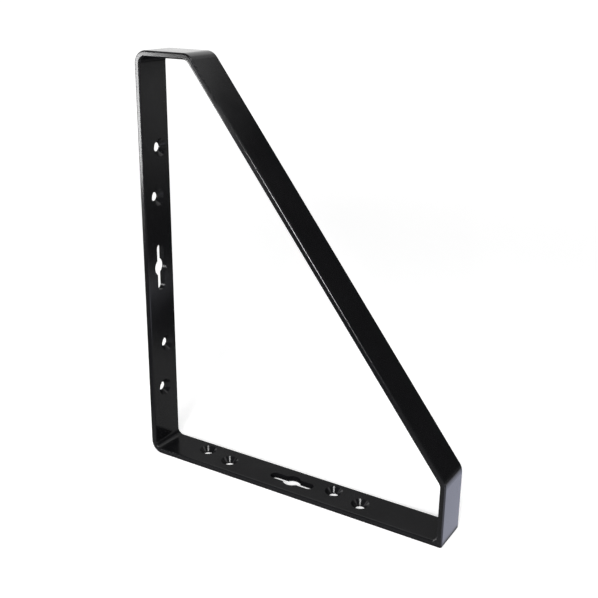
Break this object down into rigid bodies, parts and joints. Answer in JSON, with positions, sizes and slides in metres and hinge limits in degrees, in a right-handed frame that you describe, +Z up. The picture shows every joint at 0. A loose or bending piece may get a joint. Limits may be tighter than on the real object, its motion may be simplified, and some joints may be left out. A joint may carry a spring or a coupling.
{
  "type": "triangular shelf bracket",
  "caption": "Triangular shelf bracket bent from a flat steel bar into a closed loop, with staggered countersunk screw holes and a double-ended keyhole in each leg.",
  "frame": {"origin": "middle of the shelf leg's outer face, at mid reach and mid width of the bar, on the plane that the bracket stands on in the picture", "axes": "+X along the shelf leg away from the wall leg, +Z up along the wall leg, +Y across the bar, away from the camera of the picture"},
  "size_m": [0.17, 0.02, 0.212],
  "materials": {
    "powder_coat": "satin black powder coat"
  },
  "bodies": {
    "root": {"bent_bar": "powder_coat"}
  },
  "joints": []
}
